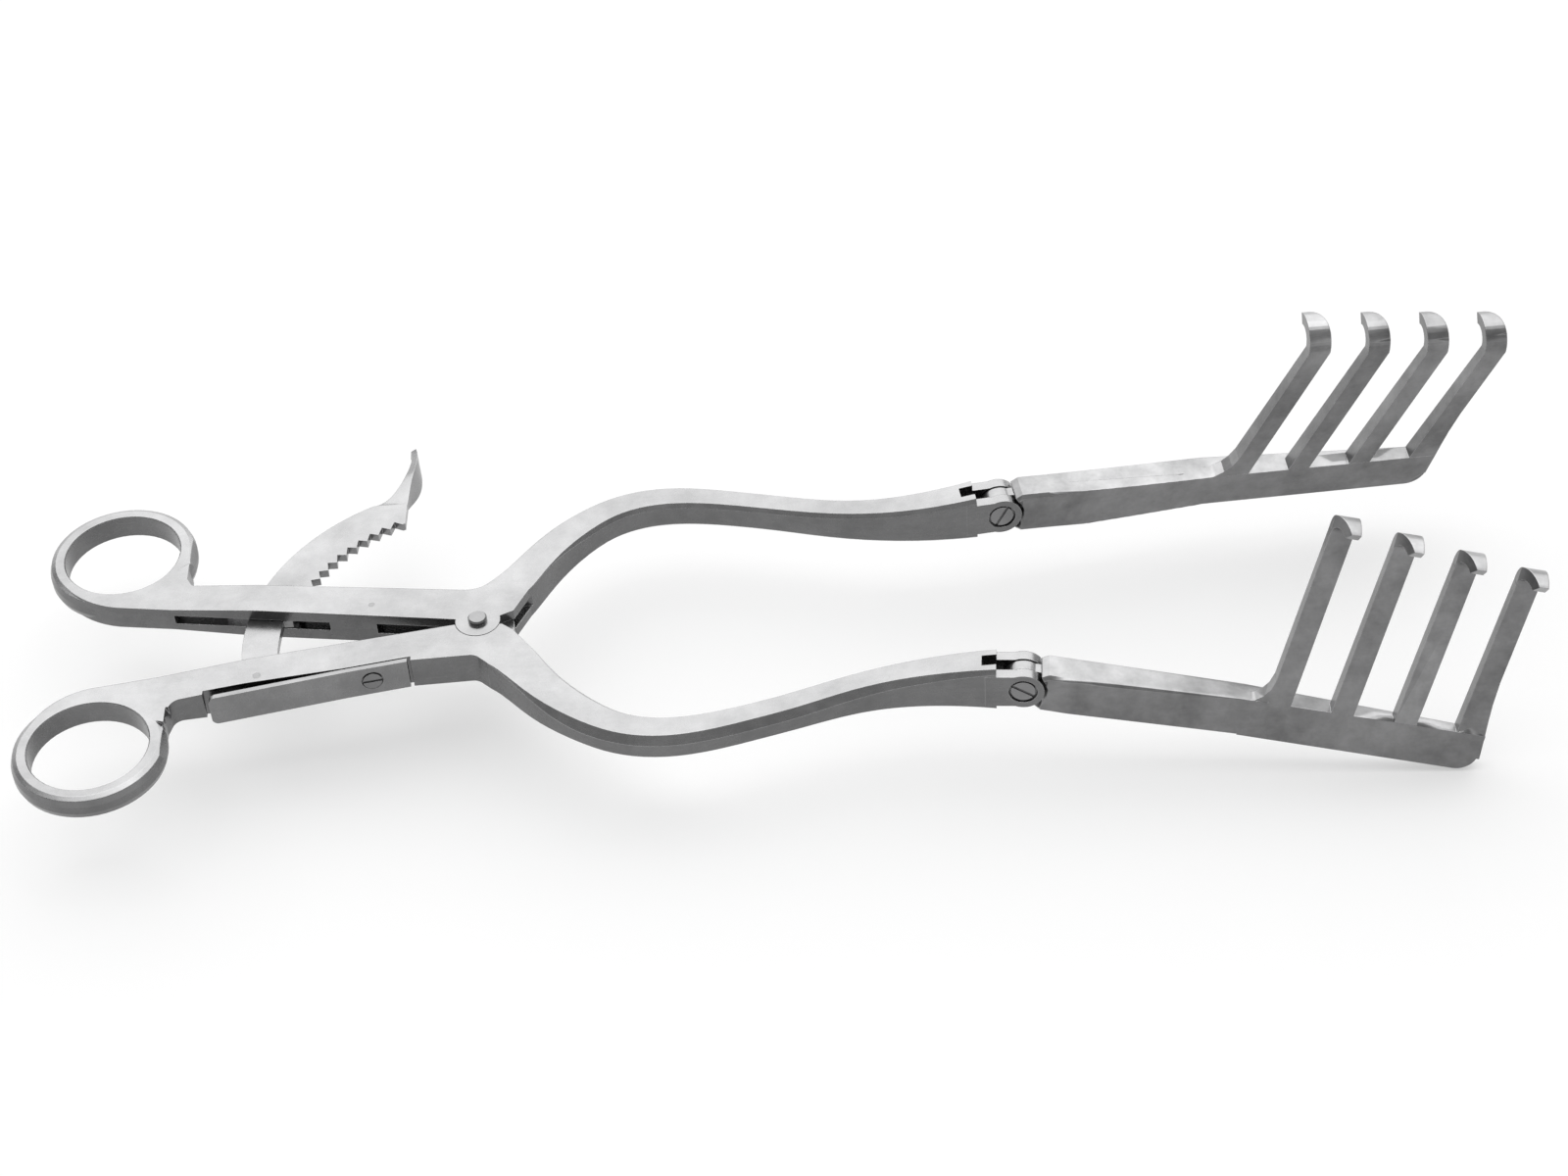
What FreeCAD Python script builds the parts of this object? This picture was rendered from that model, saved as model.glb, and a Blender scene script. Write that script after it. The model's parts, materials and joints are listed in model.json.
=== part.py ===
import FreeCAD, Part
import math
import os
import Sketcher
from FreeCAD import Placement, Rotation, Vector

# Self retaining retractor, modelled half open with its ratchet near the first notches.
# Frame: origin on the main pivot axis in the underside plane of the shanks,
# +X towards the blades along the bisector of the two arms, +Y towards the far
# arm, +Z up. Millimetres.

# Driving dimensions.
SIZES = {
    # shanks and finger rings
    "shank_height": 7.2,
    "far_ring_back": 76.0,
    "far_ring_out": 29.3,
    "near_ring_back": 76.9,
    "near_ring_out": 27.8,
    "ring_outer_radius": 15.5,
    "ring_inner_radius": 12.15,
    "ring_height": 5.4,
    "ring_rounding": 1.4,
    "ring_bevel": 0.25,
    "neck_relief": 0.95,
    # box lock round the main pivot
    "plate_thickness": 2.3,
    "plate_gap": 0.05,
    "lug_radius": 4.6,
    "lug_gap": 0.12,
    "tongue_radius": 7.3,
    "box_radius": 7.6,
    "rivet_radius": 1.5,
    "rivet_head_radius": 1.95,
    "rivet_head_height": 1.0,
    "rivet_head_bevel": 0.28,
    "pivot_running_gap": 0.05,
    # curved arms
    "arm_top_at_hinge": 10.6,
    "arm_bottom_at_hinge": -0.2,
    "arm_bottom_mid": 1.2,
    "arm_chamfer": 0.85,
    "arm_outer_chamfer": 1.55,
    "near_root_swell": 1.2,
    # blade hinges
    "hinge_forward": 109.0,
    "hinge_out": 26.5,
    "hinge_level": 5.2,
    "hinge_heading": 6.2,
    "knuckle_radius": 4.2,
    "knuckle_width": 7.4,
    "leaf_radius": 4.0,
    "leaf_thickness": 2.4,
    "leaf_slot": 2.8,
    "hinge_pin_radius": 1.5,
    "hinge_running_gap": 0.05,
    "hinge_head_radius": 2.4,
    "hinge_counterbore_radius": 2.9,
    "hinge_counterbore_depth": 1.1,
    # ratchet bar and its seat
    "bar_thickness": 1.8,
    "bar_slot": 2.2,
    "bar_outer_radius": 48.6,
    "bar_end_narrowing": 0.8,
    "bar_neck_radius": 41.2,
    "tooth_root_radius": 40.5,
    "tooth_tip_radius": 38.9,
    "tooth_pitch": 4.25,
    "tooth_count": 13,
    "first_notch_angle": 11.0,
    "catch_clearance": 0.12,
    "bar_pin_back": 44.4,
    "bar_pin_out": 11.9,
    "bar_pin_radius": 0.8,
    "thumb_thickness": 1.5,
    # leaf spring on the near shank
    "spring_thickness": 1.1,
    "spring_height": 7.0,
    "spring_gap": 0.18,
    "spring_tip_gap": 2.0,
    "spring_corner": 1.4,
    "spring_screw_back": 21.6,
    "spring_screw_radius": 1.1,
    "spring_head_radius": 1.95,
    "spring_counterbore_radius": 2.2,
    "spring_counterbore_depth": 0.7,
    # blades
    "near_tilt": 11.8,
    "far_tilt": 3.2,
    "blade_roll": 10.4,
    "block_half_height": 4.85,
    "block_width": 7.2,
    "block_clearance_radius": 4.85,
    "bar_half_height": 4.27,
    "rake_start": 44.0,
    "rake_width": 3.2,
    "rake_back": 2.8,
    "prong_start": 48.5,
    "prong_pitch": 12.75,
    "prong_count": 4,
    "prong_width": 4.5,
    "prong_thickness": 2.4,
    "near_prong_length": 40.0,
    "far_prong_length": 35.8,
    "prong_row_fall": 7.4,
    "near_lean": 3.5,
    "far_lean": 18.7,
    "hook_radius": 5.0,
    "hook_angle": 132.0,
    # small fittings
    "dowel_back": 22.1,
    "dowel_out": 7.0,
    "dowel_radius": 0.6,
    "screw_slot_width": 0.55,
    "screw_slot_depth": 0.45,
}

FAR = 1.0
NEAR = -1.0

# Stations of the curved arms: forward, outward, heading in degrees, width of the top face.
ARM_STATIONS = [
    (6.75, 10.25, 60.2, 8.2),
    (9.6, 14.0, 54.0, 7.3),
    (14.9, 21.5, 48.0, 6.4),
    (22.2, 28.8, 35.0, 5.8),
    (29.6, 33.2, 18.0, 5.2),
    (37.3, 34.8, 3.0, 4.9),
    (49.1, 33.6, -13.0, 4.4),
    (59.5, 31.0, -16.5, 4.2),
    (69.5, 28.1, -15.5, 4.1),
    (79.8, 25.8, -8.5, 4.2),
    (90.0, 25.0, -0.5, 4.8),
]

# Least gap between the heel of the ratchet bar and the leaf spring.
HEEL_GAP = 0.12

# Floor of the leaf spring's recess on the near shank: screw end, knee, free end.
RECESS = [(-13.4, -9.45), (-26.9, -11.6), (-55.1, -14.95)]

# The shank beside the free end of the spring stands this proud of the recess floor.
LAND_STEP = 1.0

# Tail of each shank, from the ring's centre: angle where it leaves the ring, then an arc
# through one point to another, both as (forward, outward).
TAILS = {
    FAR: (214.0, (-6.4, -13.65), (2.0, -16.95)),
    NEAR: (207.0, (-7.0, -13.95), (-1.5, -16.4)),
}

# Thumb piece at the end of the ratchet bar, from the bar's inner corner: distance ahead,
# then sideways the left edge, the ridge and the foot of the right face, the height of the
# ridge over the middle of the bar and the drop of the right face.
THUMB_STATIONS = [
    (5.0, -2.4, 0.55, 1.7, 1.6, 3.6),
    (9.0, -0.6, 1.2, 2.4, 2.2, 4.5),
    (13.5, 0.4, 1.8, 2.1, 2.2, 4.0),
    (17.3, 0.1, 1.3, 1.3, 1.8, 2.4),
]

# Webs that widen a prong at its root: height above the root, extra width there.
FIRST_WEB = [(-0.6, 4.6), (0.3, 2.7), (1.4, 1.35), (3.0, 0.45), (5.2, 0.02)]
LAST_WEB = [(-0.6, 1.9), (4.0, 1.35), (8.5, 0.75), (12.5, 0.3), (17.5, 0.02)]

doc = FreeCAD.newDocument("Retractor")
sheet = doc.addObject("Spreadsheet::Sheet", "Sizes")
for row, (alias, value) in enumerate(SIZES.items(), start=1):
    sheet.set("A%d" % row, alias.replace("_", " "))
    sheet.set("B%d" % row, str(value))
    sheet.setAlias("B%d" % row, alias)
doc.recompute()


def size(alias):
    return float(sheet.get(alias))


def bind(target, **properties):
    """Tie properties of a feature to cells of the sheet."""
    for name, expression in properties.items():
        target.setExpression(name, expression)


def new_body(label):
    body = doc.addObject("PartDesign::Body", label)
    body.Label = label
    return body


def origin_plane(body, role):
    for feature in body.Origin.OriginFeatures:
        if feature.Role == role:
            return feature
    raise RuntimeError("no origin plane " + role)


def sketch_on(body, name, role="XY_Plane", offset=None):
    sketch = body.newObject("Sketcher::SketchObject", name)
    sketch.AttachmentSupport = (origin_plane(body, role), [""])
    sketch.MapMode = "FlatFace"
    if offset is not None:
        sketch.AttachmentOffset = offset
    return sketch


def level(height):
    return Placement(Vector(0, 0, height), Rotation())


def frame_at(origin, x_axis, y_axis):
    """Placement whose local x and y run along the two given directions."""
    return Placement(origin, Rotation(x_axis, y_axis, x_axis.cross(y_axis), "XYZ"))


def close_polygon(sketch, points):
    corners = [Vector(x, y, 0) for x, y in points]
    for start, end in zip(corners, corners[1:] + corners[:1]):
        sketch.addGeometry(Part.LineSegment(start, end), False)


def rounded(steps):
    """Outline steps with every (x, y, radius) corner turned into a line and a tangent arc."""
    result = []
    count = len(steps)
    for index, step in enumerate(steps):
        if len(step) < 3:
            result.append(step)
            continue
        before, after = steps[index - 1], steps[(index + 1) % count]
        before = before[-1] if isinstance(before[0], tuple) else before
        corner = Vector(step[0], step[1], 0)
        back = (Vector(before[0], before[1], 0) - corner).normalize()
        ahead = (Vector(after[0], after[1], 0) - corner).normalize()
        half_angle = back.getAngle(ahead) / 2.0
        reach = step[2] / math.tan(half_angle)
        start = corner + back * reach
        end = corner + ahead * reach
        middle = corner + (back + ahead).normalize() * (step[2] / math.sin(half_angle) - step[2])
        result.append((start.x, start.y))
        result.append(((middle.x, middle.y), (end.x, end.y)))
    return result


def add_outline(sketch, steps):
    """Closed outline: a point draws a line to it, a third number rounds that corner,
    a pair of points draws an arc through the first to the second."""
    def vector(point):
        return Vector(point[0], point[1], 0)

    steps = rounded(steps)
    here = steps[-1][-1] if isinstance(steps[-1][0], tuple) else steps[-1]
    for step in steps:
        if isinstance(step[0], tuple):
            through, end = step
            arc = Part.Arc(vector(here), vector(through), vector(end))
            sketch.addGeometry(arc, False)
        else:
            end = step
            sketch.addGeometry(Part.LineSegment(vector(here), vector(end)), False)
        here = end


def add_circle(sketch, x, y, radius_alias, extra=""):
    """Circle whose radius is tied to the sheet."""
    index = sketch.addGeometry(Part.Circle(Vector(x, y, 0), Vector(0, 0, 1), 1.0), False)
    constraint = sketch.addConstraint(Sketcher.Constraint("Radius", index, 1.0))
    sketch.setExpression("Constraints[%d]" % constraint, "Sizes." + radius_alias + extra)


def pad(body, sketch, name, length, midplane=False, reverse=False):
    feature = body.newObject("PartDesign::Pad", name)
    feature.Profile = sketch
    feature.Midplane = midplane
    feature.Reversed = reverse
    bind(feature, Length=length)
    doc.recompute()
    return feature


def pocket(body, sketch, name, length=None, midplane=False, reverse=False):
    before = body.Shape.Volume
    feature = body.newObject("PartDesign::Pocket", name)
    feature.Profile = sketch
    feature.Midplane = midplane
    feature.Reversed = reverse
    if length is None:
        feature.Type = "ThroughAll"
    else:
        bind(feature, Length=length)
    doc.recompute()
    if not body.Shape.Volume < before:
        raise RuntimeError("pocket removed nothing: " + body.Label + " " + name)
    return feature


def loft(body, sections, name, ruled=False):
    feature = body.newObject("PartDesign::AdditiveLoft", name)
    feature.Profile = sections[0]
    feature.Sections = sections[1:]
    feature.Ruled = ruled
    doc.recompute()
    return feature


def edges_where(shape, test):
    """Names of the edges whose middle point passes the test."""
    names = []
    for index, edge in enumerate(shape.Edges, start=1):
        middle = edge.valueAt((edge.FirstParameter + edge.LastParameter) / 2.0)
        if test(edge, middle):
            names.append("Edge%d" % index)
    return names


def round_edges(body, name, test, radius):
    """Fillet on the edges of the body that pass the test; radius is an expression."""
    base = body.Tip
    names = edges_where(base.Shape, test)
    fillet = body.newObject("PartDesign::Fillet", name)
    fillet.Base = (base, names)
    bind(fillet, Radius=radius)
    doc.recompute()
    return fillet


def polar(radius, angle):
    """Point at a radius from the main pivot, angle in degrees from -X towards +Y."""
    turn = math.radians(angle)
    return (-radius * math.cos(turn), radius * math.sin(turn))


# Curved arm and fork


def smooth_rise(forward):
    """0 behind the middle of the arm, 1 at the hinge."""
    start = 60.0
    share = (forward - start) / (size("hinge_forward") - 5.0 - start)
    return max(0.0, min(1.0, share)) ** 1.6


def arm_levels(forward):
    """Bottom and top of the arm at a distance forward of the pivot."""
    ease = min(1.0, max(0.0, (forward - ARM_STATIONS[0][0]) / 15.0))
    rise = smooth_rise(forward)
    middle = size("arm_bottom_mid") * ease
    bottom = middle + (size("arm_bottom_at_hinge") - size("arm_bottom_mid")) * rise
    top = size("shank_height") + (size("arm_top_at_hinge") - size("shank_height")) * rise
    return bottom, top


def arm_chamfers(forward):
    """Outer and inner chamfer, growing out of the flat shank."""
    ease = min(1.0, max(0.05, (forward - ARM_STATIONS[0][0]) / 15.0))
    rise = smooth_rise(forward)
    inner = size("arm_chamfer") * ease
    outer = size("arm_outer_chamfer") * ease
    outer = outer + (size("arm_chamfer") - outer) * rise
    return outer, inner


def root_swell(side, forward):
    """Extra width on the outer side of the near arm, fading out past the bend."""
    if side == FAR:
        return 0.0
    ease = min(1.0, max(0.0, (forward - ARM_STATIONS[0][0]) / 15.0))
    return size("near_root_swell") * (1.0 - ease)


def arm_root(side, edge):
    """Corner of the arm's first section in plan: edge is 1 on the outside, -1 on the inside."""
    forward, outward, heading, width = ARM_STATIONS[0]
    reach = width / 2.0 + (root_swell(side, forward) if edge > 0 else 0.0)
    turn = math.radians(heading)
    return (forward - edge * reach * math.sin(turn),
            side * (outward + edge * reach * math.cos(turn)))


def arm_section(body, side, name, station):
    """Eight-sided section across the arm, standing upright."""
    forward, outward, heading, width = station
    bottom, top = arm_levels(forward)
    outer, inner = arm_chamfers(forward)
    turn = math.radians(heading)
    across = Vector(-math.sin(turn), side * math.cos(turn), 0)
    placement = frame_at(Vector(forward, side * outward, 0), across, Vector(0, 0, 1))
    sketch = sketch_on(body, name, "XY_Plane", placement)
    half = width / 2.0
    wide = half + root_swell(side, forward)
    close_polygon(sketch, [
        (wide, bottom),
        (wide + outer, bottom + outer),
        (wide + outer, top - outer),
        (wide, top),
        (-half, top),
        (-half - inner, top - inner),
        (-half - inner, bottom + inner),
        (-half, bottom),
    ])
    return sketch


def hinge_frame(side):
    """Origin and directions of the blade hinge: along, across (towards +Y)."""
    turn = math.radians(size("hinge_heading"))
    along = Vector(math.cos(turn), side * math.sin(turn), 0)
    across = Vector(-side * math.sin(turn), math.cos(turn), 0)
    point = Vector(size("hinge_forward"), side * size("hinge_out"), size("hinge_level"))
    return point, along, across


def add_curved_arm(body, side):
    """Curved arm from the bend to the shoulder of the hinge fork."""
    point, along, across = hinge_frame(side)
    shoulder = point - along * 5.3
    chamfer = size("arm_chamfer")
    stations = ARM_STATIONS + [
        (shoulder.x, side * shoulder.y, size("hinge_heading"), size("knuckle_width") - 2 * chamfer)]
    sections = []
    for index, station in enumerate(stations):
        sections.append(arm_section(body, side, "ArmSection%d" % index, station))
    loft(body, sections, "CurvedArm")


def add_fork(body, side):
    """Two rounded tines, the slot between them and the holes for the hinge screw."""
    point, along, across = hinge_frame(side)
    up = Vector(0, 0, 1)
    radius = size("knuckle_radius")
    neck = radius - 0.3
    upright = frame_at(point, along, up)
    sketch = sketch_on(body, "KnuckleOutline", "XY_Plane", upright)
    root = -7.5
    add_outline(sketch, [
        (root, -neck),
        (-math.sqrt(radius ** 2 - neck ** 2), -neck),
        ((radius, 0), (-math.sqrt(radius ** 2 - neck ** 2), neck)),
        (root, neck),
    ])
    pad(body, sketch, "Knuckle", "Sizes.knuckle_width", midplane=True)
    flat = frame_at(point, along, across)
    half = size("leaf_slot") / 2.0
    sketch = sketch_on(body, "ForkSlotOutline", "XY_Plane", flat)
    close_polygon(sketch, [(-8.2, -half), (radius + 3, -half), (radius + 3, half), (-8.2, half)])
    pocket(body, sketch, "ForkSlot", "Sizes.arm_top_at_hinge * 3", midplane=True)
    sketch = sketch_on(body, "PinHoleOutline", "XY_Plane", upright)
    add_circle(sketch, 0, 0, "hinge_pin_radius")
    pocket(body, sketch, "PinHole", "Sizes.knuckle_width * 2", midplane=True)
    face = point - across * (size("knuckle_width") / 2.0)
    sketch = sketch_on(body, "CounterboreOutline", "XY_Plane", frame_at(face, along, up))
    add_circle(sketch, 0, 0, "hinge_counterbore_radius")
    pocket(body, sketch, "Counterbore", "Sizes.hinge_counterbore_depth * 2", midplane=True)
    sketch = sketch_on(body, "NearHoleOutline", "XY_Plane", frame_at(face, along, up))
    add_circle(sketch, 0, 0, "hinge_pin_radius", " + Sizes.hinge_running_gap")
    pocket(body, sketch, "NearHole", "Sizes.knuckle_width", midplane=True)


# Shanks, rings and box lock


def ring_centre(side):
    """Centre of a finger ring in plan, outward counted positive."""
    if side == FAR:
        return -size("far_ring_back"), size("far_ring_out")
    return -size("near_ring_back"), size("near_ring_out")


def from_ring(side, step):
    """Plan point at a step from the ring's centre, given as (forward, outward)."""
    x, y = ring_centre(side)
    return (x + step[0], side * (y + step[1]))


def ring_point(side, angle, radius):
    turn = math.radians(angle)
    return from_ring(side, (radius * math.cos(turn), radius * math.sin(turn)))


def relief_x(side):
    """Flat on the neck of the ring that faces the blades."""
    return ring_centre(side)[0] + size("ring_outer_radius") - size("neck_relief")


def ring_section(low, high):
    """Flat band with a soft bulge outside and fine bevels round the finger hole."""
    inner, outer = size("ring_inner_radius"), size("ring_outer_radius")
    across, bevel = size("ring_rounding"), size("ring_bevel")
    rise = across * 1.3
    side = [(inner, low + bevel), (inner + bevel, low), (outer - across, low),
            (outer - 0.3 * across, low + 0.3 * rise), (outer, low + rise)]
    return side + [(radius, low + high - z) for radius, z in reversed(side)]


def shank_outline(side, inner_edge, outer_edge):
    """Shank and bend in one outline that starts and ends inside the band of the ring."""
    band = (size("ring_outer_radius") + size("ring_inner_radius")) / 2.0
    flat_edge = size("ring_outer_radius") - size("ring_rounding")
    leave, through, end = TAILS[side]
    return [
        ring_point(side, -25.0, band),
        (ring_point(side, -85.0, band), ring_point(side, leave - 360.0, band)),
        ring_point(side, leave, flat_edge),
        (from_ring(side, through), from_ring(side, end)),
    ] + inner_edge + outer_edge


def add_ring_and_shank(body, side, inner_edge, outer_edge):
    """Flat shank that thins towards the tail, with the finger ring on its end."""
    sketch = sketch_on(body, "ShankOutline")
    add_outline(sketch, shank_outline(side, inner_edge, outer_edge))
    pad(body, sketch, "Shank", "Sizes.shank_height")
    top = size("shank_height")
    trim = (top - size("ring_height")) / 2.0
    x, y = ring_centre(side)
    margin = 2.0
    behind = x - size("ring_outer_radius") - margin
    tail = x + size("ring_inner_radius")
    full = tail + 18.0
    upright = frame_at(Vector(0, 0, 0), Vector(1, 0, 0), Vector(0, 0, 1))
    sketch = sketch_on(body, "TailTaper", "XY_Plane", upright)
    close_polygon(sketch, [
        (behind, top - trim), (tail, top - trim), (full, top), (full, top + margin), (behind, top + margin)])
    close_polygon(sketch, [(behind, trim), (tail, trim), (full, 0), (full, -margin), (behind, -margin)])
    pocket(body, sketch, "Tail", "Sizes.far_ring_back * 4", midplane=True)
    # finger ring: band revolved about its own upright axis
    centre = Vector(x, side * y, 0)
    sketch = sketch_on(body, "RingSection", "XY_Plane", frame_at(centre, Vector(1, 0, 0), Vector(0, 0, 1)))
    close_polygon(sketch, ring_section(trim, top - trim))
    ring = body.newObject("PartDesign::Revolution", "Ring")
    ring.Profile = sketch
    ring.ReferenceAxis = (sketch, ["V_Axis"])
    ring.Angle = 360.0
    doc.recompute()
    # relief on the side of the neck that faces the blades
    start = Vector(0, side * (y - 0.6 * size("ring_outer_radius")), 0)
    sketch = sketch_on(body, "ReliefOutline", "XY_Plane", frame_at(start, Vector(1, 0, 0), Vector(0, 0, 1)))
    flat = relief_x(side)
    foot = flat + 1.1
    beyond = flat + 4.0
    close_polygon(sketch, [
        (flat, top + margin), (flat, 0.82 * top), (foot, 0.45 * top), (foot, -margin),
        (beyond, -margin), (beyond, top + margin)])
    pocket(body, sketch, "Relief", "Sizes.ring_outer_radius", reverse=side < 0)


def slot_between(body, name, outline, low, high):
    """Horizontal slot with the given plan outline between two levels, both expressions."""
    sketch = sketch_on(body, name + "Outline")
    add_outline(sketch, outline)
    bind(sketch, **{".AttachmentOffset.Base.z": low})
    pocket(body, sketch, name, "(" + high + ") - (" + low + ")", reverse=True)


def slot_circle(body, name, radius, low, high):
    sketch = sketch_on(body, name + "Outline")
    add_circle(sketch, 0, 0, radius)
    bind(sketch, **{".AttachmentOffset.Base.z": low})
    pocket(body, sketch, name, "(" + high + ") - (" + low + ")", reverse=True)


BOX_LOW = "Sizes.plate_thickness"
BOX_HIGH = "Sizes.shank_height - Sizes.plate_thickness"
BAR_LOW = "(Sizes.shank_height - Sizes.bar_slot) / 2"
BAR_HIGH = "(Sizes.shank_height + Sizes.bar_slot) / 2"


def vertical_hole(body, name, x, y, radius, extra="", length="Sizes.shank_height * 4"):
    sketch = sketch_on(body, name + "Outline")
    add_circle(sketch, x, y, radius, extra)
    pocket(body, sketch, name, length, midplane=True)


def make_box_arm():
    """Far arm: carries the two plates of the box lock and the ratchet window."""
    body = new_body("box_arm")
    lug = size("lug_radius")
    neck = relief_x(FAR)
    ring_out = size("far_ring_out")
    outer_edge = [
        arm_root(FAR, 1),
        (-0.12, 9.12, 6.3),
        (neck + 1.2, 17.6, 1.5),
        (neck, ring_out - 9.2),
        (neck, ring_out - 4.3),
    ]
    inner_edge = [
        polar(lug, 9.0),
        ((0, -lug), polar(lug, 168.0)),
        (7.3, 2.2),
        arm_root(FAR, -1),
    ]
    add_ring_and_shank(body, FAR, inner_edge, outer_edge)
    add_curved_arm(body, FAR)
    add_fork(body, FAR)
    # space for the tongue between the plates, open towards the near arm
    slot_circle(body, "BoxSeat", "box_radius", BOX_LOW, BOX_HIGH)
    slot_between(body, "BoxMouth", [
        (-21.6, 2.0), (-20.4, 6.6), (-6.0, 5.2), (2.0, 5.2), (8.6, 8.6), (13.0, 9.0),
        (10.0, -2.0), (-5, -6.0),
    ], BOX_LOW, BOX_HIGH)
    # window for the ratchet bar: long mouth on the inner face, catch edge further out
    catch = size("tooth_tip_radius") - size("catch_clearance")
    root = catch - 1.5
    slot_between(body, "BarWindow", [
        (-53.0, 3.0), polar(root, 5.0), polar(root, 13.3), polar(catch, 15.2), polar(root, 15.5),
        polar(root, 27.0), (-53.0, 24.0),
    ], BAR_LOW, BAR_HIGH)
    mouth_end = -63.6
    slot_between(body, "BarMouth", [
        (mouth_end, 12.9), (mouth_end, 6.0), (-31.0, 2.0), (-31.0, 7.4), ((-31.4, 8.2), (-32.2, 8.4)),
    ], BAR_LOW, BAR_HIGH)
    # round end of the slot, as its cutter leaves it
    end_face = Vector(mouth_end, 12.9, size("shank_height") / 2.0)
    sketch = sketch_on(body, "MouthEndOutline", "XY_Plane",
                       frame_at(end_face, Vector(1, 0, 0), Vector(0, 0, 1)))
    add_circle(sketch, 0, 0, "bar_slot", " / 2")
    pocket(body, sketch, "MouthEnd", "Sizes.bar_slot * 4")
    vertical_hole(body, "RivetHole", 0, 0, "rivet_radius")
    vertical_hole(body, "DowelHole", -size("dowel_back"), size("dowel_out"), "dowel_radius")
    return body


def recess_floor(x):
    """Outer edge of the near shank under the leaf spring, with its knee."""
    for (x0, y0), (x1, y1) in zip(RECESS, RECESS[1:]):
        if x >= x1 or (x1, y1) == RECESS[-1]:
            return y0 + (y1 - y0) * (x - x0) / (x1 - x0)


def make_tongue_arm():
    """Near arm: carries the tongue of the box lock, the ratchet bar and the leaf spring."""
    body = new_body("tongue_arm")
    neck = relief_x(NEAR)
    ring_out = size("near_ring_out")
    step_x, floor_y = RECESS[2]
    land_y = floor_y - LAND_STEP
    outer_edge = [
        arm_root(NEAR, 1),
        (-0.4, -10.25, 2.6),
        (-13.4, -10.55),
        RECESS[0],
        RECESS[1],
        RECESS[2],
        (step_x, land_y),
        (neck + 1.1, recess_floor(neck) - LAND_STEP, 2.6),
        (neck, 7.0 - ring_out),
        (neck, 5.2 - ring_out),
    ]
    inner_edge = [(-4.5, -0.85), (5.0, -1.6), (7.3, -3.6), arm_root(NEAR, -1)]
    add_ring_and_shank(body, NEAR, inner_edge, outer_edge)
    # bevel along the top of the land between the spring and the ring
    run = Vector(step_x - neck, floor_y - recess_floor(neck), 0).normalize()
    out = Vector(run.y, -run.x, 0)
    top = size("shank_height")
    corner = Vector(step_x + 0.01, land_y, 0)
    sketch = sketch_on(body, "LandBevelOutline", "XY_Plane", frame_at(corner, out, Vector(0, 0, 1)))
    close_polygon(sketch, [(-LAND_STEP, top + 0.1), (0.1, top - LAND_STEP), (0.1, top + 0.1)])
    pocket(body, sketch, "LandBevel", "Sizes.near_ring_back / 16")
    add_curved_arm(body, NEAR)
    add_fork(body, NEAR)
    # seats for the round lugs of the box plates above and below the tongue
    slot_circle(body, "LugSeatTop", "lug_radius + Sizes.lug_gap",
                "Sizes.shank_height - Sizes.plate_thickness - Sizes.plate_gap", "Sizes.shank_height + 1")
    slot_circle(body, "LugSeatBottom", "lug_radius + Sizes.lug_gap",
                "-1", "Sizes.plate_thickness + Sizes.plate_gap")
    sketch = sketch_on(body, "TongueOutline")
    add_circle(sketch, 0, 0, "tongue_radius")
    bind(sketch, **{".AttachmentOffset.Base.z": "Sizes.plate_thickness + Sizes.plate_gap"})
    pad(body, sketch, "Tongue",
        "Sizes.shank_height - 2 * Sizes.plate_thickness - 2 * Sizes.plate_gap")
    vertical_hole(body, "RivetHole", 0, 0, "rivet_radius", " + Sizes.pivot_running_gap")
    # slot through the shank for the tail of the ratchet bar
    slot_between(body, "BarSlot", [
        (-54.0, -3.0), (-54.0, -18.0), (-37.8, -18.0), (-37.8, -3.0),
    ], BAR_LOW, BAR_HIGH)
    vertical_hole(body, "BarPinHole", -size("bar_pin_back"), -size("bar_pin_out"), "bar_pin_radius")
    # tapped hole for the spring screw, square to the outer face
    point, along, outward = spring_screw_frame()
    sketch = sketch_on(body, "ScrewHoleOutline", "XY_Plane", frame_at(point, along, Vector(0, 0, 1)))
    add_circle(sketch, 0, 0, "spring_screw_radius")
    pocket(body, sketch, "ScrewHole", "Sizes.spring_screw_radius * 9", midplane=True)
    return body


# Leaf spring and its screw


def leaf_points():
    """Inner face of the leaf spring: screw end, knee, free end."""
    gap = size("spring_gap")
    knee = RECESS[1][0]
    end_x, tip_x = RECESS[0][0] - 0.7, RECESS[2][0] + 1.3
    return [
        (end_x, recess_floor(end_x) - gap),
        (knee, recess_floor(knee) - gap),
        (tip_x, recess_floor(tip_x) - size("spring_tip_gap")),
    ]


def leaf_face(x):
    """Inner face of the free part of the leaf spring."""
    (x0, y0), (x1, y1) = leaf_points()[1:]
    return y0 + (y1 - y0) * (x - x0) / (x1 - x0)


def spring_screw_frame():
    """Point on the recess floor under the screw, direction along the shank, outward direction."""
    x = -size("spring_screw_back")
    knee, end = RECESS[1], RECESS[0]
    along = Vector(end[0] - knee[0], end[1] - knee[1], 0).normalize()
    outward = Vector(along.y, -along.x, 0)
    return Vector(x, recess_floor(x), size("shank_height") / 2.0), along, outward


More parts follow.
